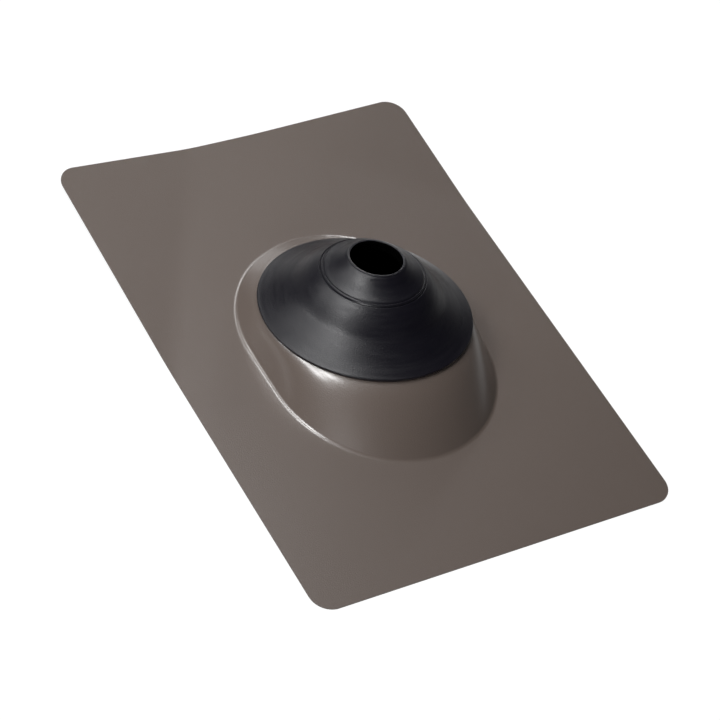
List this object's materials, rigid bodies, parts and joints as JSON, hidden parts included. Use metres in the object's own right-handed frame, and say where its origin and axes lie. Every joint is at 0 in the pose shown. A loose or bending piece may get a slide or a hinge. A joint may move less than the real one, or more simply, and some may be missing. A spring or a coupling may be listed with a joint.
{
  "type": "pipe flashing boot",
  "caption": "Roof flashing for a round vent pipe: a flat metal flange with a pressed oval dome and a tilted rubber collar that seals on the pipe.",
  "frame": {"origin": "middle of the flange's underside, which lies on the roof", "axes": "+X across the slope, +Y up the slope along the flange's long side, +Z away from the roof"},
  "size_m": [0.292, 0.395, 0.0723],
  "materials": {
    "painted_sheet": "satin warm grey-brown baked paint on pressed aluminium sheet, with a fine orange-peel grain",
    "collar_rubber": "black moulded thermoplastic rubber, satin"
  },
  "bodies": {
    "root": {"base_flashing": "painted_sheet", "rubber_collar": "collar_rubber"}
  },
  "joints": []
}
